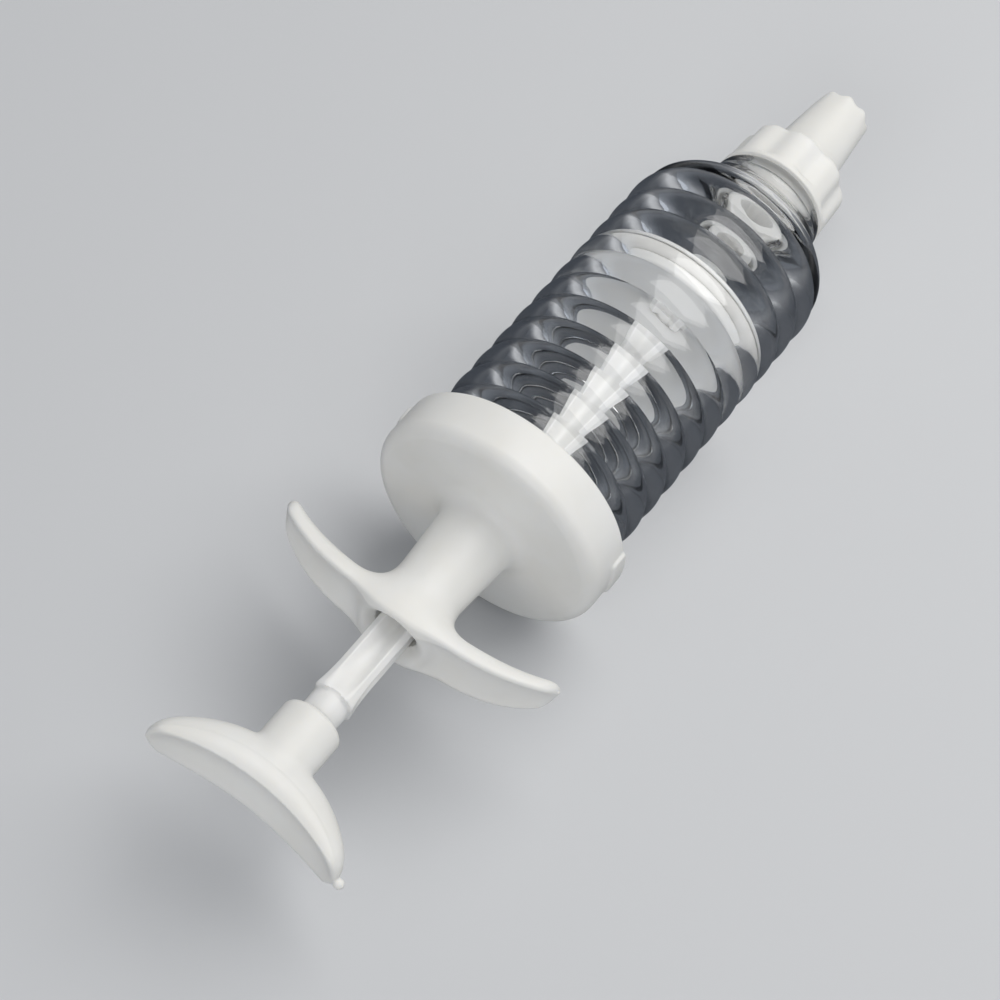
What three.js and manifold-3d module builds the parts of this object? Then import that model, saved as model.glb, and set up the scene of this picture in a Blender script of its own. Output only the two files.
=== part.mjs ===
// A piston food injector: clear ribbed barrel, rear cap with finger wings, plunger with a thumb
// rest, and a screw-on star nozzle. Millimetres, +Z up, lying along +X with the nozzle in front.
// Stations along the axis are measured from the cap's front rim, positive towards the nozzle.
import * as THREE from 'three';
import { mergeVertices } from 'three/addons/utils/BufferGeometryUtils.js';
import Module from 'manifold-3d';

const wasm = await Module();
wasm.setup();

// Driving dimensions.
const RUNNING_GAP = 0.4;
const ROUND_SEGMENTS = 36;
const SMALL_SEGMENTS = 32;
const EDGE_STEPS = 3;
const SHOULDER_STEPS = 8;

const cap = { radius: 27, wall: 2.4, length: 11.6, edge: 3, floor: 3, lip: 0.6 };
const rimTab = { proud: 0.6, length: 4, width: 11 };
const guide = { rootRadius: 8.9, endRadius: 7, bore: 5.1, rootFillet: 4.5, edge: 1.4, inset: 0.6 };
const wing = {
  tipY: 31.9, tipRadius: 2, front: -35.7, rear: -41.6, frontSweep: 5.2, frontPower: 3.5,
  rearSweep: 7.1, rearPower: 3.4, rearSpan: 33, midHeight: 8, tipHeight: 2.4,
  filletRadius: 6.5, filletEnd: 13.6, frontSquareness: 2.3, rearSquareness: 5,
};
const barrel = {
  bore: 20.6, crest: 23.8, valley: 22.95, pitch: 7.2, firstCrest: 3.7, ribs: 11,
  rear: -8.1, rearRadius: 23, ribRound: 0.2, boreEnd: 80, fallStart: 78, fallEnd: 95,
  shoulderEnd: 97, neckShoulder: 13.2, neckRadius: 9.7, neckBore: 8.2, neckEnd: 105.2, wall: 2.2,
};
const lug = { length: 1.5, sweep: 70, proud: 1.1 };
const thread = { pitch: 3, height: 1, rootWidth: 1.1, crestWidth: 0.6, start: 99, turns: 1.5 };
const coupler = {
  rear: 97.4, front: 109, radius: 13.4, lobeDepth: 0.9, lobes: 8, flange: 0.9,
  bore: 11.1, mouth: 8.9, mouthDepth: 1.7, edge: 1.6,
};
const nozzle = {
  tip: 129.9, tipRadius: 6.3, rootRadius: 8.4, flangeRadius: 9.8, flange: 1.4, passage: 4.6,
  spigot: 13.2, teeth: 8, toothRadius: 0.9,
};
const rod = {
  finReach: 4.7, finWidth: 1.9, collarRadius: 4.15, collarStart: -60, collarLength: 7.4,
  shank: 3.4, shankLength: 11, neck: 3, head: 4.3, headLength: 2.6,
};
const thumb = {
  bossRadius: 6.7, bossFront: -66.8, socket: 3.7, edge: 1, front: -76.1, frontRadius: 29.8,
  rear: -87.4, rearSweep: 4, tipY: 22.2, tipRadius: 2.1, midHeight: 7.6, tipHeight: 2.6,
  dishDepth: 2.2, dishLength: 20, dishHeight: 6, frontSquareness: 2.2, rearSquareness: 7,
};
const piston = { front: 59.4, radius: 20.2, flange: 1.8, grooveRadius: 17.6, socketDepth: 1.6 };
const seal = { width: 2.2, proud: 0.15 };
// The plunger turns freely in its guide and is drawn slightly turned against the wings.
const PLUNGER_TURN = 4.8;

// White moulded plastic, clear styrene and soft silicone.
const WHITE = { color: 0xe9e8e3, roughness: 0.42, metalness: 0 };
const CLEAR = { color: 0xbfc6cf, roughness: 0.08, metalness: 0, transparent: true, opacity: 0.35 };
const SOFT = { color: 0xe4e3de, roughness: 0.6, metalness: 0 };

// Merge shared vertices, drop collapsed triangles and turn the faces outwards.
function tidy(geometry) {
  for (const name of Object.keys(geometry.attributes)) {
    if (name !== 'position') geometry.deleteAttribute(name);
  }
  const merged = mergeVertices(geometry, 1e-4);
  const source = merged.index.array;
  const kept = [];
  for (let i = 0; i < source.length; i += 3) {
    const [a, b, c] = [source[i], source[i + 1], source[i + 2]];
    if (a !== b && b !== c && c !== a) kept.push(a, b, c);
  }
  if (signedVolume(merged, kept) < 0) kept.reverse();
  merged.setIndex(kept);
  return merged;
}

function signedVolume(geometry, index) {
  const corner = (i) => new THREE.Vector3().fromBufferAttribute(geometry.attributes.position, i);
  let total = 0;
  for (let i = 0; i < index.length; i += 3) {
    const [a, b, c] = [corner(index[i]), corner(index[i + 1]), corner(index[i + 2])];
    total += a.dot(b.cross(c));
  }
  return total / 6;
}

function solid(geometry) {
  const merged = tidy(geometry);
  const vertProperties = new Float32Array(merged.attributes.position.array);
  const triVerts = new Uint32Array(merged.index.array);
  return new wasm.Manifold(new wasm.Mesh({ numProp: 3, vertProperties, triVerts }));
}

function toGeometry(manifold) {
  const { vertProperties, triVerts } = manifold.getMesh();
  const geometry = new THREE.BufferGeometry();
  geometry.setAttribute('position', new THREE.BufferAttribute(vertProperties, 3));
  geometry.setIndex(new THREE.BufferAttribute(triVerts, 1));
  geometry.computeVertexNormals();
  return geometry;
}

// A profile of [station, radius] points turned about the X axis.
function turned(profile, segments = ROUND_SEGMENTS) {
  const points = profile.map(([station, radius]) => new THREE.Vector2(radius, station));
  return solid(new THREE.LatheGeometry(points, segments).rotateZ(-Math.PI / 2));
}

function disc(start, end, radius, segments = ROUND_SEGMENTS) {
  return turned([[start, 0], [start, radius], [end, radius], [end, 0]], segments);
}

// Profile points along a quarter circle about [station, radius], between two angles in degrees.
function arc(station, radius, size, from, to, steps = EDGE_STEPS) {
  return Array.from({ length: steps + 1 }, (_, i) => {
    const angle = THREE.MathUtils.degToRad(from + ((to - from) * i) / steps);
    return [station + size * Math.cos(angle), radius + size * Math.sin(angle)];
  });
}

// Skin a row of rings that have the same number of points, and close both ends with fans.
function loft(rings) {
  const count = rings[0].length;
  const points = rings.flat();
  const index = [];
  for (let r = 0; r < rings.length - 1; r += 1) {
    for (let i = 0; i < count; i += 1) {
      const [a, b] = [r * count + i, r * count + ((i + 1) % count)];
      index.push(a, b, a + count, b, b + count, a + count);
    }
  }
  const last = (rings.length - 1) * count;
  for (let i = 1; i < count - 1; i += 1) {
    index.push(0, i + 1, i);
    index.push(last, last + i, last + i + 1);
  }
  const geometry = new THREE.BufferGeometry().setFromPoints(points);
  geometry.setIndex(index);
  return solid(geometry);
}

// A ring in the XZ plane at a given Y: softly rounded in front, squarer behind.
function roundedRing(shape, y, middle, halfWidth, halfHeight, count = 20) {
  return Array.from({ length: count }, (_, i) => {
    const angle = (2 * Math.PI * (i + 0.5)) / count;
    const squareness = Math.cos(angle) > 0 ? shape.frontSquareness : shape.rearSquareness;
    const bend = (value) => Math.sign(value) * Math.abs(value) ** (2 / squareness);
    const x = middle + halfWidth * bend(Math.cos(angle));
    return new THREE.Vector3(x, y, halfHeight * bend(Math.sin(angle)));
  });
}

// Blunt tips: the outline between front(y) and rear(y) ends in a round of tipRadius at tipY.
function crescent(shape, front, rear, stations = 24) {
  const reach = shape.tipY + shape.tipRadius * 0.995;
  const rings = [];
  for (let i = 0; i <= stations; i += 1) {
    const y = reach * Math.sin((Math.PI / 2) * ((2 * i) / stations - 1));
    const span = Math.abs(y);
    const beyond = Math.max(0, span - shape.tipY) / shape.tipRadius;
    const close = Math.sqrt(Math.max(0, 1 - beyond * beyond));
    const inside = Math.min(span, shape.tipY);
    const [f, r] = [front(inside), rear(inside)];
    const bulge = Math.sqrt(Math.max(0, 1 - (inside / (shape.tipY * 1.04)) ** 2));
    const height = shape.tipHeight + (shape.midHeight - shape.tipHeight) * bulge;
    rings.push(roundedRing(shape, y, (f + r) / 2, (close * (f - r)) / 2, close * height));
  }
  return loft(rings);
}

// A trapezoid ridge along a helix about X; its ends run out to nothing.
function threadRidge(root, crest, start, turns = thread.turns) {
  const steps = Math.round(turns * SMALL_SEGMENTS);
  const rings = [];
  for (let i = 0; i <= steps; i += 1) {
    const angle = (2 * Math.PI * i) / SMALL_SEGMENTS;
    const station = start + (thread.pitch * i) / SMALL_SEGMENTS;
    const fade = Math.min(1, (0.6 + Math.min(i, steps - i)) / (SMALL_SEGMENTS / 8));
    const top = root + (crest - root) * fade;
    const corners = [
      [-thread.rootWidth / 2, root], [-thread.crestWidth / 2, top],
      [thread.crestWidth / 2, top], [thread.rootWidth / 2, root],
    ];
    rings.push(corners.map(([along, radius]) => new THREE.Vector3(
      station + along, radius * Math.cos(angle), radius * Math.sin(angle))));
  }
  return loft(rings);
}

// A ring sector: part of a band between two radii, centred on an angle in degrees.
function sector(start, end, inner, outer, centre, sweep, segments = 8) {
  const rings = [];
  for (let i = 0; i <= segments; i += 1) {
    const angle = THREE.MathUtils.degToRad(centre + sweep * (i / segments - 0.5));
    const corners = [[start, inner], [start, outer], [end, outer], [end, inner]];
    rings.push(corners.map(([station, radius]) => new THREE.Vector3(
      station, radius * Math.cos(angle), radius * Math.sin(angle))));
  }
  return loft(rings);
}

// Finger wings: a crescent whose tips sweep forward, filleted into the guide tube.
function fingerWings() {
  const front = (y) => {
    const swept = wing.front + wing.frontSweep * (y / wing.tipY) ** wing.frontPower;
    const inset = Math.min(Math.max(wing.filletEnd - y, 0), wing.filletRadius);
    const rise = wing.filletRadius - Math.sqrt(wing.filletRadius ** 2 - inset ** 2);
    return swept + rise;
  };
  const rear = (y) => wing.rear + wing.rearSweep * (y / wing.rearSpan) ** wing.rearPower;
  return crescent(wing, front, rear, 28);
}

// Rear cap, guide tube and finger wings are one moulding; the barrel's end turns into the cup.
function rearCap() {
  const back = -cap.length;
  const slope = (guide.rootRadius - guide.endRadius) / (back - wing.rear);
  const guideEnd = wing.rear + guide.inset;
  const filletRadius = guide.rootRadius + guide.rootFillet;
  const outside = turned([
    [guideEnd, 0],
    ...arc(guideEnd + guide.edge, guide.endRadius - guide.edge, guide.edge, 180, 90),
    [back - guide.rootFillet, guide.rootRadius - slope * guide.rootFillet],
    ...arc(back - guide.rootFillet, filletRadius, guide.rootFillet, 290, 360),
    ...arc(back + cap.edge, cap.radius - cap.edge, cap.edge, 180, 90),
    [-cap.lip, cap.radius],
    [0, cap.radius - cap.lip],
    [0, 0],
  ]);
  const cupRadius = cap.radius - cap.wall;
  const inside = turned([
    [wing.rear - 2, 0],
    [wing.rear - 2, guide.bore],
    [back + cap.floor, guide.bore],
    [back + cap.floor, cupRadius],
    [1, cupRadius],
    [1, 0],
  ]);
  const sideTab = (side) => sector(-rimTab.length, -0.1, cap.radius - 1, cap.radius + rimTab.proud,
    side, THREE.MathUtils.radToDeg(rimTab.width / cap.radius));
  const lugInner = barrel.rearRadius + RUNNING_GAP;
  const lugStart = -lug.length - 1;
  const innerLug = (side) => sector(lugStart, -1, lugInner, cupRadius + 1, side, lug.sweep);
  return outside.add(fingerWings()).add(sideTab(0)).add(sideTab(180)).subtract(inside)
    .add(innerLug(90)).add(innerLug(270));
}

// Outer line of the barrel's shoulder, from the last rib: a smooth fall towards the neck.
function shoulderLine() {
  const { crest, pitch, firstCrest, ribs, fallStart, fallEnd, neckShoulder, shoulderEnd } = barrel;
  const ribsEnd = firstCrest + (ribs - 0.5) * pitch;
  return Array.from({ length: SHOULDER_STEPS }, (_, i) => {
    const station = THREE.MathUtils.lerp(ribsEnd, shoulderEnd, (i + 1) / SHOULDER_STEPS);
    const share = THREE.MathUtils.smoothstep(station, fallStart, fallEnd);
    return [station, THREE.MathUtils.lerp(crest, neckShoulder, share)];
  });
}

// Outer line of the barrel: rounded ribs, then the shoulder and a plain neck.
function barrelOutline() {
  const { crest, valley, pitch, firstCrest, ribs, ribRound } = barrel;
  const line = [[barrel.rear, 0], [barrel.rear, barrel.rearRadius]];
  line.push([firstCrest - pitch * 0.85, barrel.rearRadius]);
  line.push([firstCrest - pitch / 2, valley]);
  for (let rib = 0; rib < ribs; rib += 1) {
    const middle = firstCrest + rib * pitch;
    line.push([middle - pitch / 4, crest - ribRound], [middle, crest]);
    line.push([middle + pitch / 4, crest - ribRound]);
    line.push([middle + pitch / 2, valley]);
  }
  line.push(...shoulderLine());
  line.push([barrel.shoulderEnd, barrel.neckRadius], [barrel.neckEnd, barrel.neckRadius]);
  line.push([barrel.neckEnd, 0]);
  return line;
}

function barrelShell() {
  const { bore, boreEnd, shoulderEnd, neckBore, neckEnd, wall } = barrel;
  const innerShoulder = shoulderLine().slice(0, -1)
    .map(([station, radius]) => [station - wall / 2, radius - wall]);
  const chamber = turned([
    [barrel.rear - 1, 0],
    [barrel.rear - 1, bore],
    [boreEnd, bore],
    ...innerShoulder,
    [shoulderEnd - wall, neckBore],
    [neckEnd + 1, neckBore],
    [neckEnd + 1, 0],
  ]);
  const ridge = threadRidge(barrel.neckRadius - 0.3, barrel.neckRadius + thread.height, thread.start);
  const lugEnd = -lug.length - 1 - RUNNING_GAP;
  const outerLug = (side) => sector(lugEnd - lug.length, lugEnd, barrel.rearRadius - 1,
    barrel.rearRadius + lug.proud, side, lug.sweep);
  return turned(barrelOutline()).add(ridge).add(outerLug(90)).add(outerLug(270)).subtract(chamber);
}

// A fluted nut: a plain rear band, then lobes along its length, and a rounded front edge.
function couplerNut() {
  const { rear, front, radius, lobeDepth, lobes, flange, edge } = coupler;
  const ring = (station, size, depth) => Array.from({ length: lobes * 8 }, (_, i) => {
    const angle = (2 * Math.PI * i) / (lobes * 8);
    const reach = size - depth * (0.5 - 0.5 * Math.cos(lobes * angle));
    return new THREE.Vector3(station, reach * Math.cos(angle), reach * Math.sin(angle));
  });
  const body = loft([
    ring(rear, radius, 0),
    ring(rear + flange, radius, 0),
    ring(rear + flange + 1, radius - 0.1, lobeDepth),
    ring(front - edge, radius - 0.3, lobeDepth),
    ring(front - edge * 0.3, radius - 0.3 - edge * 0.3, lobeDepth),
    ring(front, radius - 0.3 - edge, lobeDepth * 0.8),
  ]);
  const hollow = turned([
    [rear - 1, 0], [rear - 1, coupler.bore], [front - coupler.mouthDepth, coupler.bore],
    [front - coupler.mouthDepth, coupler.mouth], [front + 1, coupler.mouth], [front + 1, 0],
  ]);
  const ridge = threadRidge(coupler.bore + 0.3, coupler.bore - thread.height,
    thread.start + thread.pitch / 2);
  return body.subtract(hollow).add(ridge);
}

// The star nozzle: a spigot through the neck, a flange held by the nut, then a tapering tube
// with a toothed tip.
function starNozzle() {
  const seat = barrel.neckEnd + 0.3;
  const spigotRadius = barrel.neckBore - RUNNING_GAP;
  const flangeEnd = seat + nozzle.flange;
  const tube = turned([
    [seat - nozzle.spigot, 0], [seat - nozzle.spigot, spigotRadius], [seat, spigotRadius],
    [seat, nozzle.flangeRadius], [flangeEnd, nozzle.flangeRadius],
    [flangeEnd, nozzle.rootRadius], [flangeEnd + 2, nozzle.rootRadius],
    [nozzle.tip - 1, nozzle.tipRadius + 0.1], [nozzle.tip, nozzle.tipRadius - 0.5],
    [nozzle.tip, 0],
  ], SMALL_SEGMENTS);
  const passage = turned([
    [seat - nozzle.spigot - 1, 0], [seat - nozzle.spigot - 1, nozzle.passage],
    [nozzle.tip - 5, nozzle.passage], [nozzle.tip + 1, nozzle.tipRadius - 2.4],
    [nozzle.tip + 1, 0],
  ], SMALL_SEGMENTS);
  let body = tube.subtract(passage);
  for (let tooth = 0; tooth < nozzle.teeth; tooth += 1) {
    const notch = new THREE.CylinderGeometry(nozzle.toothRadius, nozzle.toothRadius * 0.4, 6, 8);
    notch.translate(0, 5, 0).rotateX((2 * Math.PI * (tooth + 0.5)) / nozzle.teeth);
    notch.translate(nozzle.tip + 0.2, 0, 0);
    body = body.subtract(solid(notch));
  }
  return body;
}

// Stations of the piston's rear face and of the rod head's socket inside it.
const pistonRear = piston.front - 2 * piston.flange - seal.width - 2 * RUNNING_GAP;
const socketStart = pistonRear + piston.socketDepth;

function pistonBody() {
  const grooveFront = piston.front - piston.flange;
  const grooveRear = grooveFront - seal.width - 2 * RUNNING_GAP;
  const socketEnd = socketStart + rod.headLength + 2 * RUNNING_GAP;
  const head = rod.head + RUNNING_GAP;
  return turned([
    [piston.front, 0],
    ...arc(piston.front - 1, piston.radius - 1, 1, 0, 90, 2),
    [grooveFront, piston.radius], [grooveFront, piston.grooveRadius],
    [grooveRear, piston.grooveRadius], [grooveRear, piston.radius],
    [pistonRear, piston.radius], [pistonRear, rod.neck + RUNNING_GAP],
    [socketStart, rod.neck + RUNNING_GAP], [socketStart, head], [socketEnd, head], [socketEnd, 0],
  ]);
}

function pistonSeal() {
  const front = piston.front - piston.flange - RUNNING_GAP;
  const inner = piston.grooveRadius + 0.3;
  const outer = piston.radius + seal.proud;
  return turned([
    [front, inner], [front, outer - 0.5], [front - seal.width / 2, outer],
    [front - seal.width, outer - 0.5], [front - seal.width, inner], [front, inner],
  ]);
}

// Cross-shaped rod with a round collar and shank behind it and a snap head in front.
function plungerRod() {
  const finFront = pistonRear - RUNNING_GAP;
  const length = finFront - rod.collarStart + 1;
  const fin = (angle) => {
    const blade = new THREE.BoxGeometry(length, 2 * rod.finReach, rod.finWidth);
    return solid(blade.rotateX(angle).translate(finFront - length / 2, 0, 0));
  };
  const collarEnd = rod.collarStart - rod.collarLength + 1;
  const headStart = socketStart + RUNNING_GAP;
  const collar = turned([
    [collarEnd - rod.shankLength, 0], [collarEnd - rod.shankLength, rod.shank],
    [collarEnd, rod.shank], [collarEnd, rod.collarRadius],
    [rod.collarStart, rod.collarRadius], [rod.collarStart + 4, rod.finWidth], [rod.collarStart + 4, 0],
  ], SMALL_SEGMENTS);
  const snap = disc(finFront - 1, headStart + 1, rod.neck, SMALL_SEGMENTS)
    .add(disc(headStart, headStart + rod.headLength, rod.head, SMALL_SEGMENTS));
  return fin(Math.PI / 4).add(fin(-Math.PI / 4)).add(collar).add(snap);
}

// Thumb rest: a crescent saddle whose tips sweep back, dished for the palm, on a round boss.
function thumbRest() {
  const front = (y) => thumb.front - thumb.frontRadius + Math.sqrt(thumb.frontRadius ** 2 - y * y);
  const rear = (y) => thumb.rear - thumb.rearSweep * (y / thumb.tipY) ** 2;
  const boss = turned([
    [thumb.rear + 4, 0], [thumb.rear + 4, thumb.bossRadius],
    ...arc(thumb.bossFront - thumb.edge, thumb.bossRadius - thumb.edge, thumb.edge, 90, 0),
    [thumb.bossFront, 0],
  ], SMALL_SEGMENTS);
  const reach = thumb.dishDepth + 4;
  const dish = new THREE.SphereGeometry(1, 24, 12);
  dish.scale(reach, thumb.dishLength, thumb.dishHeight).translate(thumb.rear - 4, 0, 0);
  const socketEnd = rod.collarStart - rod.collarLength + 1 - rod.shankLength - RUNNING_GAP;
  const socket = disc(socketEnd, thumb.bossFront + 1, thumb.socket, SMALL_SEGMENTS);
  return crescent(thumb, front, rear).add(boss).subtract(solid(dish)).subtract(socket);
}

function part(name, body, look) {
  const mesh = new THREE.Mesh(toGeometry(body), new THREE.MeshStandardMaterial(look));
  mesh.name = name;
  return mesh;
}

function buildInjector() {
  const plunger = new THREE.Group();
  plunger.rotation.x = THREE.MathUtils.degToRad(PLUNGER_TURN);
  plunger.add(part('plunger_rod', plungerRod(), WHITE), part('thumb_rest', thumbRest(), WHITE));
  const assembly = new THREE.Group();
  assembly.add(
    plunger,
    part('barrel', barrelShell(), CLEAR),
    part('rear_cap', rearCap(), WHITE),
    part('piston', pistonBody(), WHITE),
    part('piston_seal', pistonSeal(), SOFT),
    part('coupler_nut', couplerNut(), WHITE),
    part('star_nozzle', starNozzle(), WHITE),
  );
  const box = new THREE.Box3().setFromObject(assembly);
  assembly.position.x = -(box.min.x + box.max.x) / 2;
  return assembly;
}

export default buildInjector();
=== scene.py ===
"""Looks of the piston food injector: fine moulded meshes, plastics, studio light and camera."""
import math

import bpy
import numpy as np
from mathutils import Matrix, Vector


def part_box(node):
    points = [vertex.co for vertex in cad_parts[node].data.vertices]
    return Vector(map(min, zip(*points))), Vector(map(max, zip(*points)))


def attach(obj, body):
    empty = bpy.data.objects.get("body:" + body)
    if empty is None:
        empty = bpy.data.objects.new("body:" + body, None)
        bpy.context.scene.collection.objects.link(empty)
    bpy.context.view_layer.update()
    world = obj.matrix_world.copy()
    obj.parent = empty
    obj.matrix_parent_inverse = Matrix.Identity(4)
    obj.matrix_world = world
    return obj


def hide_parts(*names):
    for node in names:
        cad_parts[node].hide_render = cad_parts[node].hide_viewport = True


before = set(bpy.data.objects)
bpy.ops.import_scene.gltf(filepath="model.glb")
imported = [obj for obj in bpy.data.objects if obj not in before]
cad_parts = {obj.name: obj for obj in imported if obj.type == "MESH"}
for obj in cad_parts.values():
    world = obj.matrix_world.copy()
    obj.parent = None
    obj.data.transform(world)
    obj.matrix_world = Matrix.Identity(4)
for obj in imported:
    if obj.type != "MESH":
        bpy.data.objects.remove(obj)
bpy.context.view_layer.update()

# Lengths are in millimetres. Stations run along the axis from the cap's front rim, towards the
# nozzle, and every shape is written in (station, y, z).
MM = 0.001
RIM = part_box("rear_cap")[1].x / MM
FINE = 1.0


def extent(node):
    """A CAD node's lowest and highest corners, with X as a station."""
    low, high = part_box(node)
    shift = Vector((RIM, 0, 0))
    return low / MM - shift, high / MM - shift


cap_low, cap_high = extent("rear_cap")
barrel_low, barrel_high = extent("barrel")
thumb_low, thumb_high = extent("thumb_rest")
rod_low, rod_high = extent("plunger_rod")
piston_low, piston_high = extent("piston")
seal_low, seal_high = extent("piston_seal")
nut_low, nut_high = extent("coupler_nut")
nozzle_low, nozzle_high = extent("star_nozzle")

CAP = dict(
    radius=cap_high.z, length=11.6, wall=2.4, floor=3, edge=3, rim_edge=0.7, inner_edge=1,
    inner_rim=0.6,
)
TAB = dict(proud=0.6, length=4.4, width=11, edge=1, top_edge=0.6, depth=1.2, fillet=0.7)
GUIDE = dict(
    root=8.9, end=7, bore=5.1, start=-41.2, edge=1.6, wing_fillet=7.5, cap_fillet=4.0, flare=0.5,
    bore_edge=0.9,
)
WING = dict(
    front=-35.7, front_sweep=5.2, front_power=3.5, rear=-41.4, rear_sweep=6.6, rear_power=3.4,
    span=32.2, tip=cap_high.y, base_height=2, crown_height=5.7, height_span=33.3, height_power=2.6,
    roundness=2.3, edge=0.9, hollow=1.8, hollow_reach=0.84, tip_round=3.4, seam=0,
)
THUMB = dict(
    front=-76.1, front_radius=29.8, rear=-88, rear_sweep=-4.2, rear_power=2, span=22.2,
    tip=thumb_high.y, base_height=2.2, crown_height=5.8, height_span=24.4, height_power=2.4,
    roundness=2.3, edge=4.6, hollow=3.4, hollow_reach=0.9, tip_round=4.6, seam=0.12,
)
BOSS = dict(
    radius=6.7, front=-66.8, edge=1.6, depth=5, fillet=1.2, socket=3.7, socket_gap=0.4,
    socket_edge=0.5,
)
GATE = dict(radius=1.1, back=1.6, inset=0.5, drop=0.6, fillet=0.6)
SEAM_PLACE = 0.52
SEAM_WIDTH = 0.7
PLUNGER_TURN = math.radians(4.8)


# ---- Signed fields -------------------------------------------------------------------------
# A field is the distance to a surface in millimetres, negative inside. The last argument of
# smooth_min and smooth_max is the width over which the two surfaces are blended.

def smoothstep(t):
    t = np.clip(t, 0, 1)
    return t * t * (3 - 2 * t)


def smooth_min(a, b, blend):
    h = np.clip(0.5 + 0.5 * (b - a) / blend, 0, 1)
    return b + (a - b) * h - blend * h * (1 - h)


def smooth_max(a, b, blend):
    return -smooth_min(-a, -b, blend)


def rounded_box(u, v, half_u, half_v, edge):
    """Distance to a rectangle about the origin of a plane, with round corners."""
    du = np.abs(u) - half_u + edge
    dv = np.abs(v) - half_v + edge
    outside = np.hypot(np.maximum(du, 0), np.maximum(dv, 0))
    return outside + np.minimum(np.maximum(du, dv), 0) - edge


def disc(x, r, start, end, radius, edge):
    """Distance to a turned disc between two stations, with round edges."""
    return rounded_box(x - (start + end) / 2, r, (end - start) / 2, radius, edge)


def cone(x, r, start, end, start_radius, end_radius):
    """Distance to an endless cone that has these radii at two stations."""
    slope = (end_radius - start_radius) / (end - start)
    return (r - start_radius - slope * (x - start)) / math.hypot(1, slope)


def crescent(x, y, z, shape, front):
    """A D-section bar along Y: round in front, hollowed behind, closing towards its tips.
    Its rear half stands a seam's height proud of its front half."""
    span = np.abs(y)
    rear = shape["rear"] + shape["rear_sweep"] * (span / shape["span"]) ** shape["rear_power"]
    thickness = np.maximum(front - rear, 1)
    closing = 1 - (span / shape["height_span"]) ** shape["height_power"]
    height = shape["base_height"] + shape["crown_height"] * np.sqrt(np.maximum(closing, 0))
    u = np.maximum((x - rear) / thickness, 0)
    w = np.abs(z) / height
    power = shape["roundness"]
    ring = np.maximum((u ** power + w ** power) ** (1 / power), 1e-6)
    slope = np.hypot(u ** (power - 1) / thickness, w ** (power - 1) / height)
    slope = np.maximum(slope * ring ** (1 - power), 0.5 / height)
    behind_seam = smoothstep((SEAM_PLACE * thickness - x + rear) / SEAM_WIDTH)
    body = (ring - 1) / slope - shape["seam"] * behind_seam
    across = np.maximum(1 - (z / (shape["hollow_reach"] * height)) ** 2, 0)
    along = np.maximum(1 - (span / shape["tip"]) ** 6, 0)
    body = smooth_max(body, rear + shape["hollow"] * across * along - x, shape["edge"])
    return smooth_max(body, span - shape["tip"], shape["tip_round"])


def rim_tabs(x, y, z):
    """The two flat tabs on the sides of the cap's rim."""
    r = np.hypot(y, z)
    length, width = TAB["length"] / 2, TAB["width"] / 2
    around = np.arctan2(np.abs(z), np.abs(y)) * CAP["radius"]
    tab = rounded_box(x + length, around, length, width, TAB["edge"])
    tab = smooth_max(tab, r - CAP["radius"] - TAB["proud"], TAB["top_edge"])
    return np.maximum(tab, CAP["radius"] - TAB["depth"] - r)


def cap_outside(x, y, z):
    """Cup, guide tube, finger wings and rim tabs, filled."""
    r = np.hypot(y, z)
    back = -CAP["length"]
    cup = disc(x, r, back, -back, CAP["radius"], CAP["edge"])
    cup = smooth_max(cup, x, CAP["rim_edge"])
    tube = cone(x, r, GUIDE["start"], back, GUIDE["end"], GUIDE["root"])
    tube = smooth_max(tube, GUIDE["start"] - x, GUIDE["edge"])
    tube = np.maximum(tube, x + CAP["floor"])
    swept = (np.abs(y) / WING["span"]) ** WING["front_power"]
    wings = crescent(x, y, z, WING, WING["front"] + WING["front_sweep"] * swept)
    grip = smooth_min(tube, wings, GUIDE["wing_fillet"])
    body = smooth_min(cup, grip, GUIDE["cap_fillet"])
    return smooth_min(body, rim_tabs(x, y, z), TAB["fillet"])


def rear_cap_field(x, y, z):
    r = np.hypot(y, z)
    floor = CAP["floor"] - CAP["length"]
    hollow = disc(x, r, floor, CAP["length"], CAP["radius"] - CAP["wall"], CAP["inner_edge"])
    flare = (r + x - GUIDE["start"] - GUIDE["bore"] - GUIDE["flare"]) * math.sqrt(0.5)
    bore = np.minimum(r - GUIDE["bore"], flare)
    body = smooth_max(cap_outside(x, y, z), -hollow, CAP["inner_rim"])
    return smooth_max(body, -bore, GUIDE["bore_edge"])


def thumb_rest_field(x, y, z):
    r = np.hypot(y, z)
    radius = THUMB["front_radius"]
    bow = np.sqrt(np.maximum(radius ** 2 - y ** 2, (0.5 * radius) ** 2))
    saddle = crescent(x, y, z, THUMB, THUMB["front"] - radius + bow)
    boss_start = THUMB["rear"] + BOSS["depth"]
    boss = disc(x, r, boss_start, BOSS["front"], BOSS["radius"], BOSS["edge"])
    body = smooth_min(saddle, boss, BOSS["fillet"])
    gate_x = x - thumb_low.x - GATE["back"]
    gate_y = y + THUMB["tip"] - GATE["inset"]
    gate = np.sqrt(gate_x ** 2 + gate_y ** 2 + (z + GATE["drop"]) ** 2) - GATE["radius"]
    body = smooth_min(body, gate, GATE["fillet"])
    socket_end = rod_low.x - BOSS["socket_gap"]
    socket = disc(x, r, socket_end, BOSS["front"] + 2, BOSS["socket"], 0.3)
    return smooth_max(body, -socket, BOSS["socket_edge"])


ROD = dict(
    reach=4.7, width=1.9, fin_edge=0.35, fin_fillet=1.8, collar=4.15, collar_start=-60,
    collar_end=-66.4, collar_edge=0.45, shank=3.4, neck=3, head=4.3, head_length=2.6, head_edge=0.7,
    ramp=12, ramp_tip=0.6, ramp_fillet=2.5, fin_gap=0.4,
)


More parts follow.
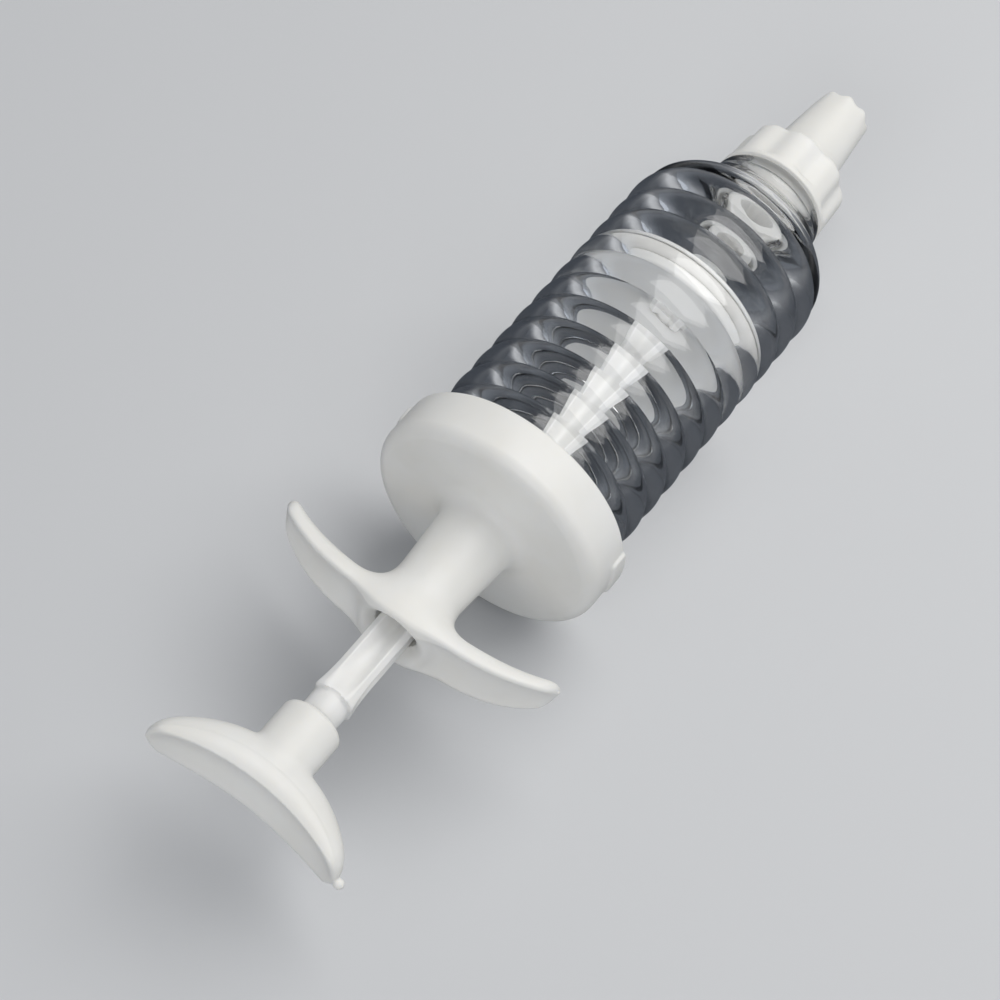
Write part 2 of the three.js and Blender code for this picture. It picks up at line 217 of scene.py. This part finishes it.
def rod_fins(x, y, z):
    """Four crossed fins, from the collar to just short of the piston."""
    diagonal = math.sqrt(0.5)
    u = (y + z) * diagonal
    v = (z - y) * diagonal
    reach, half = ROD["reach"], ROD["width"] / 2
    one_way = rounded_box(u, v, reach, half, ROD["fin_edge"])
    other_way = rounded_box(v, u, reach, half, ROD["fin_edge"])
    fins = smooth_min(one_way, other_way, ROD["fin_fillet"])
    fins = smooth_max(fins, x - piston_low.x + ROD["fin_gap"], 0.4)
    return smooth_max(fins, ROD["collar_start"] - 0.6 - x, 0.5)


def plunger_rod_field(x, y, z):
    r = np.hypot(y, z)
    start, end = ROD["collar_start"], ROD["collar_end"]
    fins_end = piston_low.x - ROD["fin_gap"]
    ramp = cone(x, r, start, start + ROD["ramp"], ROD["collar"], ROD["ramp_tip"])
    ramp = np.maximum(ramp, start - 1 - x)
    collar = disc(x, r, end, start, ROD["collar"], ROD["collar_edge"])
    shank = disc(x, r, rod_low.x, end + 1, ROD["shank"], 0.4)
    neck = disc(x, r, fins_end - 2, rod_high.x - 1, ROD["neck"], 0.3)
    head_start = rod_high.x - ROD["head_length"]
    head = disc(x, r, head_start, rod_high.x, ROD["head"], ROD["head_edge"])
    body = smooth_min(rod_fins(x, y, z), ramp, ROD["ramp_fillet"])
    body = smooth_min(smooth_min(body, collar, 0.6), shank, 0.5)
    return smooth_min(body, smooth_min(neck, head, 0.4), 0.4)


PISTON = dict(
    radius=piston_high.y, edge=0.5, groove=17.6, groove_gap=0.2, groove_edge=0.2, lip_edge=0.3,
    socket_depth=1.6, socket_gap=0.4, socket_edge=0.3,
)


def seal_groove(x, r):
    """The ring-shaped groove around the seal."""
    rear = seal_low.x - PISTON["groove_gap"]
    front = seal_high.x + PISTON["groove_gap"]
    outside = 30
    middle, half = (rear + front) / 2, (front - rear) / 2
    depth = outside - PISTON["groove"]
    return rounded_box(x - middle, r - outside, half, depth, PISTON["groove_edge"])


def piston_field(x, y, z):
    r = np.hypot(y, z)
    rear, front = piston_low.x, piston_high.x
    body = disc(x, r, rear, front, PISTON["radius"], PISTON["edge"])
    body = smooth_max(body, -seal_groove(x, r), PISTON["lip_edge"])
    pocket_start = rear + PISTON["socket_depth"]
    pocket_end = rod_high.x + PISTON["socket_gap"]
    pocket_radius = ROD["head"] + PISTON["socket_gap"]
    pocket = disc(x, r, pocket_start, pocket_end, pocket_radius, 0.3)
    neck = np.maximum(r - ROD["neck"] - PISTON["socket_gap"], x - pocket_start - 1)
    return smooth_max(body, -np.minimum(neck, pocket), PISTON["socket_edge"])


NUT = dict(
    radius=nut_high.y, lobes=8, depth=1.0, flange=0.7, flare=1.6, taper=0.5, bore=11.1, mouth=8.9,
    mouth_depth=1.7, edge=1.8, rear_edge=0.4, bore_edge=0.5, thread_pitch=3, thread_depth=0.9,
)


def nut_thread(x, angle):
    """How far the nut's thread stands into its bore, fading out towards both ends."""
    rear, front = nut_low.x, nut_high.x
    turn = (angle / (2 * math.pi) - (x - rear) / NUT["thread_pitch"]) % 1
    ridge = 0.5 * np.clip(np.cos(2 * math.pi * turn) * 1.4, -1, 1)
    inside = np.clip((x - rear - 1.5) / 1.5, 0, 1) * np.clip((front - 3 - x) / 1.5, 0, 1)
    return (ridge + 0.5) * inside * NUT["thread_depth"]


def coupler_nut_field(x, y, z):
    r = np.hypot(y, z)
    angle = np.arctan2(z, y)
    rear, front = nut_low.x, nut_high.x
    flute = 0.5 - 0.5 * np.cos(NUT["lobes"] * angle)
    grown = smoothstep((x - rear - NUT["flange"]) / NUT["flare"])
    slimmer = NUT["depth"] * flute ** 1.6 * grown + NUT["taper"] * (x - rear) / (front - rear)
    body = disc(x, r + slimmer, rear - NUT["edge"], front, NUT["radius"], NUT["edge"])
    body = smooth_max(body, rear - x, NUT["rear_edge"])
    bore = np.maximum(r - NUT["bore"], x - front + NUT["mouth_depth"]) + nut_thread(x, angle)
    return smooth_max(body, -np.minimum(bore, r - NUT["mouth"]), NUT["bore_edge"])


NOZZLE = dict(
    tip_radius=6.3, root=8.4, flange=1.4, flange_radius=9.8, flange_edge=0.3, flange_fillet=0.6,
    passage=4.6, spigot=7.8, spigot_edge=0.9, seat=105.5, teeth=8, scallop=0.7, tip_edge=1.3,
    pleat=0.16, pleat_length=7, mouth=3.5, mouth_depth=4, star=0.8, star_fillet=0.8, bore_edge=0.4,
)


def nozzle_tube(x, r, wave):
    """The tapering tube, pleated and scalloped towards its tip."""
    tip, root_end = nozzle_high.x, NOZZLE["seat"] + NOZZLE["flange"]
    near = np.clip((x - tip + NOZZLE["pleat_length"]) / NOZZLE["pleat_length"], 0, 1)
    pleat = NOZZLE["pleat"] * (1 - wave) * near * near
    tube = cone(x, r + pleat, root_end, tip, NOZZLE["root"], NOZZLE["tip_radius"])
    end = x - tip + NOZZLE["scallop"] * 0.5 * (1 - wave)
    return np.maximum(smooth_max(tube, end, NOZZLE["tip_edge"]), NOZZLE["seat"] - x)


def star_nozzle_field(x, y, z):
    r = np.hypot(y, z)
    seat, tip = NOZZLE["seat"], nozzle_high.x
    wave = np.cos(NOZZLE["teeth"] * np.arctan2(z, y))
    flange_end = seat + NOZZLE["flange"]
    flange = disc(x, r, seat, flange_end, NOZZLE["flange_radius"], NOZZLE["flange_edge"])
    spigot = disc(x, r, nozzle_low.x, seat + 1, NOZZLE["spigot"], NOZZLE["spigot_edge"])
    body = smooth_min(nozzle_tube(x, r, wave), flange, NOZZLE["flange_fillet"])
    body = smooth_min(body, spigot, 0.2)
    star = r - NOZZLE["mouth"] - NOZZLE["star"] * wave
    passage = np.maximum(r - NOZZLE["passage"], x - tip + NOZZLE["mouth_depth"])
    passage = smooth_min(passage, star, NOZZLE["star_fillet"])
    return smooth_max(body, -passage, NOZZLE["bore_edge"])


# ---- Meshes --------------------------------------------------------------------------------

def cell_vertices(value, cells):
    """One point in each mixed cell, at the mean of its edge crossings, in grid steps."""
    total = np.zeros((len(cells), 3))
    hits = np.zeros(len(cells))
    units = np.eye(3, dtype=int)
    for axis in range(3):
        side, up = units[(axis + 1) % 3], units[(axis + 2) % 3]
        for corner in (0 * side, side, up, side + up):
            start = cells + corner
            end = start + units[axis]
            a = value[tuple(start.T)]
            b = value[tuple(end.T)]
            crossed = (a < 0) != (b < 0)
            share = np.where(crossed, a / np.where(crossed, a - b, 1), 0)
            total += crossed[:, None] * (start + share[:, None] * units[axis])
            hits += crossed
    return total / hits[:, None]


def cell_faces(inside, number):
    """A quad around every grid edge that crosses the surface, facing out."""
    faces = []
    units = np.eye(3, dtype=int)
    last = np.array(number.shape) - 1
    for axis in range(3):
        side, up = units[(axis + 1) % 3], units[(axis + 2) % 3]
        ahead = np.roll(inside, -1, axis=axis)
        edges = np.argwhere(inside != ahead)
        fits = (edges <= last).all(1) & ((edges - side - up) >= 0).all(1)
        edges = edges[fits]
        quad = [number[tuple((edges - step).T)] for step in (0 * side, side, side + up, up)]
        quad = np.stack(quad, axis=1)
        leaving = inside[tuple(edges.T)]
        faces.append(np.where(leaving[:, None], quad, quad[:, ::-1]))
    return np.concatenate(faces)


def gradient(field, points, step=0.03):
    slopes = []
    for axis in range(3):
        shift = np.zeros(3)
        shift[axis] = step
        ahead = field(*(points + shift).T)
        behind = field(*(points - shift).T)
        slopes.append((ahead - behind) / (2 * step))
    return np.stack(slopes, axis=1)


def mixed_cells(inside):
    """Marks the grid cells with corners on both sides of the surface."""
    count = np.zeros([n - 1 for n in inside.shape], dtype=int)
    for corner in np.ndindex(2, 2, 2):
        window = tuple(slice(step, n - 1 + step) for step, n in zip(corner, inside.shape))
        count += inside[window]
    return (count > 0) & (count < 8)


def surface_net(field, low, high, cell):
    """Mesh a field's zero level, with every vertex pulled onto it. Gives points, quads, normals."""
    margin = 2 * cell
    axes = [np.arange(a - margin, b + margin + cell, cell) for a, b in zip(low, high)]
    value = field(*np.meshgrid(*axes, indexing="ij"))
    inside = value < 0
    mixed = mixed_cells(inside)
    cells = np.argwhere(mixed)
    number = np.full(mixed.shape, -1)
    number[mixed] = np.arange(len(cells))
    origin = np.array([a[0] for a in axes])
    points = origin + cell * cell_vertices(value, cells)
    for _ in range(4):
        slope = gradient(field, points)
        steep = np.maximum((slope ** 2).sum(1), 0.05)
        move = (field(*points.T) / steep)[:, None] * slope
        points -= np.clip(move, -0.5 * cell, 0.5 * cell)
    slope = gradient(field, points)
    normals = slope / np.maximum(np.linalg.norm(slope, axis=1), 1e-9)[:, None]
    return points, cell_faces(inside, number), normals


def add_mesh(name, points, faces, normals=None):
    """A smooth-shaded object whose points are in (station, y, z) millimetres."""
    mesh = bpy.data.meshes.new(name)
    placed = (points + np.array([RIM, 0, 0])) * MM
    mesh.from_pydata(placed.tolist(), [], faces.tolist())
    mesh.shade_smooth()
    if normals is not None:
        mesh.normals_split_custom_set_from_vertices(normals.tolist())
    piece = bpy.data.objects.new(name, mesh)
    bpy.context.scene.collection.objects.link(piece)
    return piece


def turn_about_axis(vectors, angle):
    cosine, sine = math.cos(angle), math.sin(angle)
    spin = np.array([[1, 0, 0], [0, cosine, -sine], [0, sine, cosine]])
    return vectors @ spin.T


def moulded(name, field, low, high, cell, turn=0.0):
    """An object meshed from a field. low and high bound it; turn is about the long axis."""
    points, faces, normals = surface_net(field, low, high, cell * FINE)
    if turn:
        points = turn_about_axis(points, turn)
        normals = turn_about_axis(normals, turn)
    return add_mesh(name, points, faces, normals)


def lathed(name, profile, segments, shape=None, sharp=35):
    """A closed profile of [station, radius] rows, turned about the axis.
    shape(station, radius, angle) may give each point a new radius."""
    profile = np.array(profile)
    rows = len(profile)
    angles = np.linspace(0, 2 * math.pi, segments, endpoint=False)
    station = np.repeat(profile[:, 0], segments)
    radius = np.repeat(profile[:, 1], segments)
    angle = np.tile(angles, rows)
    if shape is not None:
        radius = shape(station, radius, angle)
    points = np.stack([station, radius * np.cos(angle), radius * np.sin(angle)], axis=1)
    row, step = np.meshgrid(np.arange(rows), np.arange(segments), indexing="ij")
    next_row, next_step = (row + 1) % rows, (step + 1) % segments
    corners = (row * segments + step, row * segments + next_step,
               next_row * segments + next_step, next_row * segments + step)
    faces = np.stack([c.ravel() for c in corners], axis=1)
    piece = add_mesh(name, points, faces)
    piece.data.set_sharp_from_angle(angle=math.radians(sharp))
    return piece


# ---- Barrel --------------------------------------------------------------------------------

BARREL = dict(
    bore=20.6, valley=22.95, rib=0.85, pitch=7.2, first=0.1, ribs=11, rear_radius=23, edge=0.4,
    fall_start=78, fall_length=17, notch=88.3, large_bulge=1.05, small_bulge=0.6, shoulder=97,
    neck_shoulder=13.2, neck=9.7, neck_bore=8.2, neck_edge=0.3, wall=2.2,
)
LUG = dict(proud=1.1, sweep=70, start=-4.8, end=-2.6, ramp=0.4, side_ramp=0.05)
THREAD = dict(pitch=3, height=1, crest=1.5, start=0.8, end=1, fade=1.2)
RIBS_END = BARREL["first"] + BARREL["ribs"] * BARREL["pitch"]


def shoulder_line(station):
    """The barrel's radius without its ribs: straight, then down to the neck."""
    drop = BARREL["valley"] - BARREL["neck_shoulder"]
    share = (station - BARREL["fall_start"]) / BARREL["fall_length"]
    return BARREL["valley"] - drop * smoothstep(share)


def straight(start, end, radius, count):
    """Rows of a cylinder between two stations."""
    return [[station, radius] for station in np.linspace(start, end, count)]


def bulge(start, end, rise, steps=14):
    """A round rib between two stations, as [station, radius] rows."""
    share = np.linspace(0, 1, steps, endpoint=False)
    station = start + (end - start) * share
    arch = 1 - (2 * share - 1) ** 2
    return np.stack([station, shoulder_line(station) + rise * arch], axis=1).tolist()


def barrel_outside():
    """Rows from the rear rim, over the ribs and the shoulder, to the end of the neck."""
    first, pitch, shoulder = BARREL["first"], BARREL["pitch"], BARREL["shoulder"]
    rear, front = barrel_low.x + BARREL["edge"], barrel_high.x - BARREL["neck_edge"]
    rows = [[rear, BARREL["rear_radius"]]]
    rows += straight(rear + 0.4, first - 1.4, BARREL["rear_radius"], 24)
    for rib in range(BARREL["ribs"]):
        rows += bulge(first + rib * pitch, first + (rib + 1) * pitch, BARREL["rib"])
    rows += bulge(RIBS_END, BARREL["notch"], BARREL["large_bulge"], 18)
    rows += bulge(BARREL["notch"], shoulder, BARREL["small_bulge"])
    rows += [[shoulder, BARREL["neck_shoulder"] - 0.3], [shoulder + 0.1, BARREL["neck"] + 0.4]]
    return rows + straight(shoulder + 0.5, front, BARREL["neck"], 40)


def barrel_inside():
    """Rows from the end of the neck, through the shoulder and the bore, to the rear rim."""
    rear, front, edge = barrel_low.x, barrel_high.x, BARREL["neck_edge"]
    bore, neck_bore, wall = BARREL["bore"], BARREL["neck_bore"], BARREL["wall"]
    rows = [[front, BARREL["neck"] - edge], [front, neck_bore + edge], [front - edge, neck_bore]]
    rows += [[BARREL["shoulder"] - 1.6, neck_bore], [BARREL["shoulder"] - wall, neck_bore + 0.6]]
    for station in np.linspace(BARREL["shoulder"] - wall - 0.4, RIBS_END + 2, 24):
        rows.append([station, min(shoulder_line(station + 1) - wall, bore)])
    rows += straight(RIBS_END, rear + 0.5, bore, 20)
    edge = BARREL["edge"]
    return rows + [[rear, bore + edge], [rear, BARREL["rear_radius"] - edge]]


def lug_height(station, angle):
    """Two bayonet lugs, above and below."""
    off = np.abs(np.abs(angle % (2 * math.pi) - math.pi) - math.pi / 2)
    around = smoothstep((math.radians(LUG["sweep"] / 2) - off) / LUG["side_ramp"])
    rise = smoothstep((station - LUG["start"]) / LUG["ramp"])
    return LUG["proud"] * around * rise * smoothstep((LUG["end"] - station) / LUG["ramp"])


def thread_height(station, angle):
    """The screw thread on the neck, which fades out at both ends."""
    turns = (station - BARREL["shoulder"] - 2) / THREAD["pitch"]
    wave = np.cos(2 * math.pi * (turns - angle / (2 * math.pi)))
    rise = smoothstep((station - BARREL["shoulder"] - THREAD["start"]) / THREAD["fade"])
    fall = smoothstep((barrel_high.x - THREAD["end"] - station) / THREAD["fade"])
    return THREAD["height"] * np.clip(THREAD["crest"] * wave, 0, 1) * rise * fall


def barrel_relief(station, radius, angle):
    """The barrel's radius with its bayonet lugs behind and its screw thread in front."""
    on_rear = radius > BARREL["rear_radius"] - 0.2
    on_neck = (station > BARREL["shoulder"] + 0.3) & (np.abs(radius - BARREL["neck"]) < 0.05)
    return radius + on_rear * lug_height(station, angle) + on_neck * thread_height(station, angle)


def seal_profile():
    """A rectangular ring with a round lip outside."""
    inner = PISTON["groove"] + 0.3
    middle = (seal_low.x + seal_high.x) / 2
    half = (seal_high.x - seal_low.x) / 2
    rise = 0.55
    side = seal_high.y - rise
    lip = [[middle + half * math.sin(a), side + rise * math.cos(a)]
           for a in np.linspace(-math.pi / 2, math.pi / 2, 11)]
    return lip + [[seal_high.x, inner + 0.2], [seal_high.x - 0.2, inner],
                  [seal_low.x + 0.2, inner], [seal_low.x, inner + 0.2]]


# ---- Materials -----------------------------------------------------------------------------

def new_material(name):
    material = bpy.data.materials.new(name)
    material.use_nodes = True
    tree = material.node_tree
    return material, tree, tree.nodes["Principled BSDF"]


def noise(tree, size, detail=2.0):
    """A noise whose blobs are about size millimetres across."""
    place = tree.nodes.new("ShaderNodeTexCoord")
    node = tree.nodes.new("ShaderNodeTexNoise")
    node.inputs["Scale"].default_value = 1 / (size * MM)
    node.inputs["Detail"].default_value = detail
    tree.links.new(place.outputs["Object"], node.inputs["Vector"])
    return node.outputs["Fac"]


def spread(tree, factor, low, high):
    """Stretches a noise, which rarely leaves 0.3 to 0.7, over a range of numbers."""
    node = tree.nodes.new("ShaderNodeMapRange")
    node.inputs["From Min"].default_value = 0.3
    node.inputs["From Max"].default_value = 0.7
    node.inputs["To Min"].default_value = low
    node.inputs["To Max"].default_value = high
    tree.links.new(factor, node.inputs["Value"])
    return node.outputs["Result"]


def mix_colour(tree, factor, first, second):
    node = tree.nodes.new("ShaderNodeMix")
    node.data_type = "RGBA"
    node.inputs["A"].default_value = (*first, 1)
    node.inputs["B"].default_value = (*second, 1)
    tree.links.new(factor, node.inputs["Factor"])
    return node.outputs["Result"]


def either(tree, first, second):
    """The larger of two ray flags."""
    node = tree.nodes.new("ShaderNodeMath")
    node.operation = "MAXIMUM"
    tree.links.new(first, node.inputs[0])
    tree.links.new(second, node.inputs[1])
    return node.outputs[0]


def bump(tree, height, distance, strength, below=None):
    """A bump of a distance in millimetres, on top of the one below."""
    node = tree.nodes.new("ShaderNodeBump")
    node.inputs["Strength"].default_value = strength
    node.inputs["Distance"].default_value = distance * MM
    tree.links.new(height, node.inputs["Height"])
    if below is not None:
        tree.links.new(below, node.inputs["Normal"])
    return node.outputs["Normal"]


def white_plastic(name, warm, cool):
    """Satin white polypropylene: faint mottling, a fine moulded grain and a soft waviness."""
    material, tree, shader = new_material(name)
    colour = mix_colour(tree, spread(tree, noise(tree, 14, 3), 0, 1), warm, cool)
    tree.links.new(colour, shader.inputs["Base Color"])
    tree.links.new(spread(tree, noise(tree, 5, 3), 0.36, 0.47), shader.inputs["Roughness"])
    wave = bump(tree, noise(tree, 6, 1), 0.04, 0.5)
    grain = bump(tree, noise(tree, 0.35, 2), 0.012, 0.6, wave)
    tree.links.new(grain, shader.inputs["Normal"])
    shader.inputs["Subsurface Weight"].default_value = 0.15
    shader.inputs["Subsurface Radius"].default_value = (1.2, 1.1, 0.9)
    shader.inputs["Subsurface Scale"].default_value = MM
    shader.inputs["IOR"].default_value = 1.49
    return material


def soft_seal(name):
    """Soft silicone: off-white and matte."""
    material, tree, shader = new_material(name)
    mottle = spread(tree, noise(tree, 3, 3), 0, 1)
    colour = mix_colour(tree, mottle, (0.74, 0.73, 0.70), (0.8, 0.79, 0.76))
    tree.links.new(colour, shader.inputs["Base Color"])
    tree.links.new(spread(tree, noise(tree, 2, 2), 0.5, 0.62), shader.inputs["Roughness"])
    tree.links.new(bump(tree, noise(tree, 0.5, 2), 0.02, 0.5), shader.inputs["Normal"])
    return material


def let_lamps_through(tree, shader):
    """Makes a shader open air for shadow and diffuse rays, so that what is behind it is lit."""
    paths = tree.nodes.new("ShaderNodeLightPath")
    lit_through = either(tree, paths.outputs["Is Shadow Ray"], paths.outputs["Is Diffuse Ray"])
    open_air = tree.nodes.new("ShaderNodeBsdfTransparent")
    open_air.inputs["Color"].default_value = (0.99, 0.99, 0.99, 1)
    blend = tree.nodes.new("ShaderNodeMixShader")
    tree.links.new(lit_through, blend.inputs["Fac"])
    tree.links.new(shader.outputs["BSDF"], blend.inputs[1])
    tree.links.new(open_air.outputs["BSDF"], blend.inputs[2])
    tree.links.new(blend.outputs["Shader"], tree.nodes["Material Output"].inputs["Surface"])


def clear_plastic(name):
    """Clear styrene with a faint blue cast, a soft waviness and handling haze."""
    material, tree, shader = new_material(name)
    cast = spread(tree, noise(tree, 20, 2), 0, 1)
    tint = mix_colour(tree, cast, (0.95, 0.96, 0.97), (0.975, 0.98, 0.985))
    tree.links.new(tint, shader.inputs["Base Color"])
    shader.inputs["Transmission Weight"].default_value = 1
    shader.inputs["IOR"].default_value = 1.5
    tree.links.new(spread(tree, noise(tree, 8, 4), 0.015, 0.05), shader.inputs["Roughness"])
    tree.links.new(bump(tree, noise(tree, 9, 2), 0.12, 0.5), shader.inputs["Normal"])
    let_lamps_through(tree, shader)
    return material


# ---- Pieces --------------------------------------------------------------------------------

def finish_piece(piece, material, body):
    """The piece stands for the CAD node of the same name, on its body."""
    piece.data.materials.append(material)
    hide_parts(piece.name[len("fine_"):])
    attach(piece, body)


def build_pieces():
    white = white_plastic("white_plastic", (0.81, 0.80, 0.76), (0.85, 0.845, 0.82))
    insert = white_plastic("white_plastic_inner", (0.82, 0.815, 0.79), (0.85, 0.85, 0.84))
    barrel = lathed("fine_barrel", barrel_outside() + barrel_inside(), 224, barrel_relief)
    finish_piece(barrel, clear_plastic("clear_plastic"), "barrel")
    seal = lathed("fine_piston_seal", seal_profile(), 128)
    finish_piece(seal, soft_seal("seal_silicone"), "piston")
    turn = PLUNGER_TURN
    nodes = [
        ("rear_cap", rear_cap_field, cap_low, cap_high, 0.42, 0, white, "cap"),
        ("thumb_rest", thumb_rest_field, thumb_low, thumb_high, 0.26, turn, white, "plunger"),
        ("plunger_rod", plunger_rod_field, rod_low, rod_high, 0.26, turn, insert, "plunger"),
        ("piston", piston_field, piston_low, piston_high, 0.3, 0, insert, "piston"),
        ("coupler_nut", coupler_nut_field, nut_low, nut_high, 0.24, 0, white, "coupler"),
        ("star_nozzle", star_nozzle_field, nozzle_low, nozzle_high, 0.22, 0, white, "nozzle"),
    ]
    room = Vector((1, 1, 1))
    for name, field, low, high, cell, angle, material, body in nodes:
        piece = moulded("fine_" + name, field, low - room, high + room, cell, angle)
        finish_piece(piece, material, body)


# ---- Studio --------------------------------------------------------------------------------

def seen_in_plastic(tree):
    """1 for the rays that have gone through the clear barrel or mirrored off a piece."""
    paths = tree.nodes.new("ShaderNodeLightPath")
    return either(tree, paths.outputs["Is Transmission Ray"], paths.outputs["Is Glossy Ray"])


def fade(tree, value, none, full):
    """0 where a value is at none, 1 where it is at full, smooth between."""
    node = tree.nodes.new("ShaderNodeMapRange")
    node.interpolation_type = "SMOOTHSTEP"
    node.inputs["From Min"].default_value = none
    node.inputs["From Max"].default_value = full
    tree.links.new(value, node.inputs["Value"])
    return node.outputs["Result"]


def painted_dark_share(tree):
    """How much painted dark shows on the floor: only in rays through or off the plastic, and only
    near the object.
    """
    place = tree.nodes.new("ShaderNodeTexCoord")
    reach = tree.nodes.new("ShaderNodeVectorMath")
    reach.operation = "LENGTH"
    tree.links.new(place.outputs["Object"], reach.inputs[0])
    share = tree.nodes.new("ShaderNodeMath")
    share.operation = "MULTIPLY"
    tree.links.new(seen_in_plastic(tree), share.inputs[0])
    tree.links.new(fade(tree, reach.outputs["Value"], 0.26, 0.12), share.inputs[1])
    return share.outputs[0]


def stage_floor():
    """A pale floor, painted dark around the object in refractions and reflections: it draws the
    ribs.
    """
    size = 4.0
    mesh = bpy.data.meshes.new("floor")
    corners = [(-size, -size, 0), (size, -size, 0), (size, size, 0), (-size, size, 0)]
    mesh.from_pydata(corners, [], [(0, 1, 2, 3)])
    floor = bpy.data.objects.new("floor", mesh)
    floor.location.z = -(CAP["radius"] + 0.2) * MM
    bpy.context.scene.collection.objects.link(floor)
    material, tree, shader = new_material("floor_card")
    # Painted dark reflection: near-black only where the floor is seen through or mirrored in the
    # plastic.
    colour = mix_colour(tree, painted_dark_share(tree), (0.60, 0.61, 0.625), (0.042, 0.05, 0.064))
    tree.links.new(colour, shader.inputs["Base Color"])
    shader.inputs["Roughness"].default_value = 0.55
    mesh.materials.append(material)


def stage_world():
    """Soft white surroundings, bright at the horizon, painted darker where mirrored or refracted in
    plastic.
    """
    world = bpy.data.worlds.new("studio")
    world.use_nodes = True
    bpy.context.scene.world = world
    tree = world.node_tree
    # Painted dark reflection: the surroundings are darker only for rays through or mirrored off the
    # plastic.
    colour = mix_colour(tree, seen_in_plastic(tree), (0.83, 0.84, 0.86), (0.15, 0.165, 0.20))
    direction = tree.nodes.new("ShaderNodeTexCoord")
    split = tree.nodes.new("ShaderNodeSeparateXYZ")
    tree.links.new(direction.outputs["Generated"], split.inputs["Vector"])
    horizon = tree.nodes.new("ShaderNodeMix")
    horizon.data_type = "RGBA"
    horizon.inputs["B"].default_value = (1.3, 1.4, 1.55, 1)
    tree.links.new(fade(tree, split.outputs["Z"], 0.42, 0.12), horizon.inputs["Factor"])
    tree.links.new(colour, horizon.inputs["A"])
    tree.links.new(horizon.outputs["Result"], tree.nodes["Background"].inputs["Color"])
    tree.nodes["Background"].inputs["Strength"].default_value = 0.4


def soft_box(name, place, width, height, power, tint):
    """A rectangular lamp that faces the object and isn't seen by the camera."""
    data = bpy.data.lights.new(name, "AREA")
    data.shape = "RECTANGLE"
    data.size = width
    data.size_y = height
    data.energy = power
    data.color = tint
    lamp = bpy.data.objects.new(name, data)
    lamp.location = place
    lamp.rotation_euler = (-Vector(place)).to_track_quat("-Z", "Y").to_euler()
    lamp.visible_camera = False
    bpy.context.scene.collection.objects.link(lamp)


def stage_lights():
    soft_box("key", (0.38, -0.16, 0.69), 0.84, 0.74, 4.7, (1, 0.99, 0.97))
    soft_box("fill", (-0.75, -0.16, 0.55), 0.70, 0.50, 2.2, (0.99, 0.99, 1))


# The view: direction by azimuth and elevation, roll about it, the point aimed at, and distance.
VIEW = dict(
    azimuth=23.27, elevation=58.84, roll=14.45, aim=(-22.7, 1.2, 0), distance=572, lens=101.0,
)


def stage_camera():
    data = bpy.data.cameras.new("camera")
    data.lens = VIEW["lens"]
    data.sensor_width = 36
    data.clip_start = 0.05
    camera = bpy.data.objects.new("camera", data)
    azimuth = math.radians(VIEW["azimuth"])
    elevation = math.radians(VIEW["elevation"])
    level = math.cos(elevation)
    forward = Vector((level * math.cos(azimuth), level * math.sin(azimuth), -math.sin(elevation)))
    upright = forward.to_track_quat("-Z", "Y").to_matrix().to_4x4()
    roll = Matrix.Rotation(math.radians(VIEW["roll"]), 4, "Z")
    place = (Vector(VIEW["aim"]) - VIEW["distance"] * forward) * MM
    camera.matrix_world = Matrix.Translation(place) @ upright @ roll
    bpy.context.scene.collection.objects.link(camera)
    bpy.context.scene.camera = camera


build_pieces()
stage_floor()
stage_world()
stage_lights()
stage_camera()
bpy.context.scene.view_settings.view_transform = "Standard"
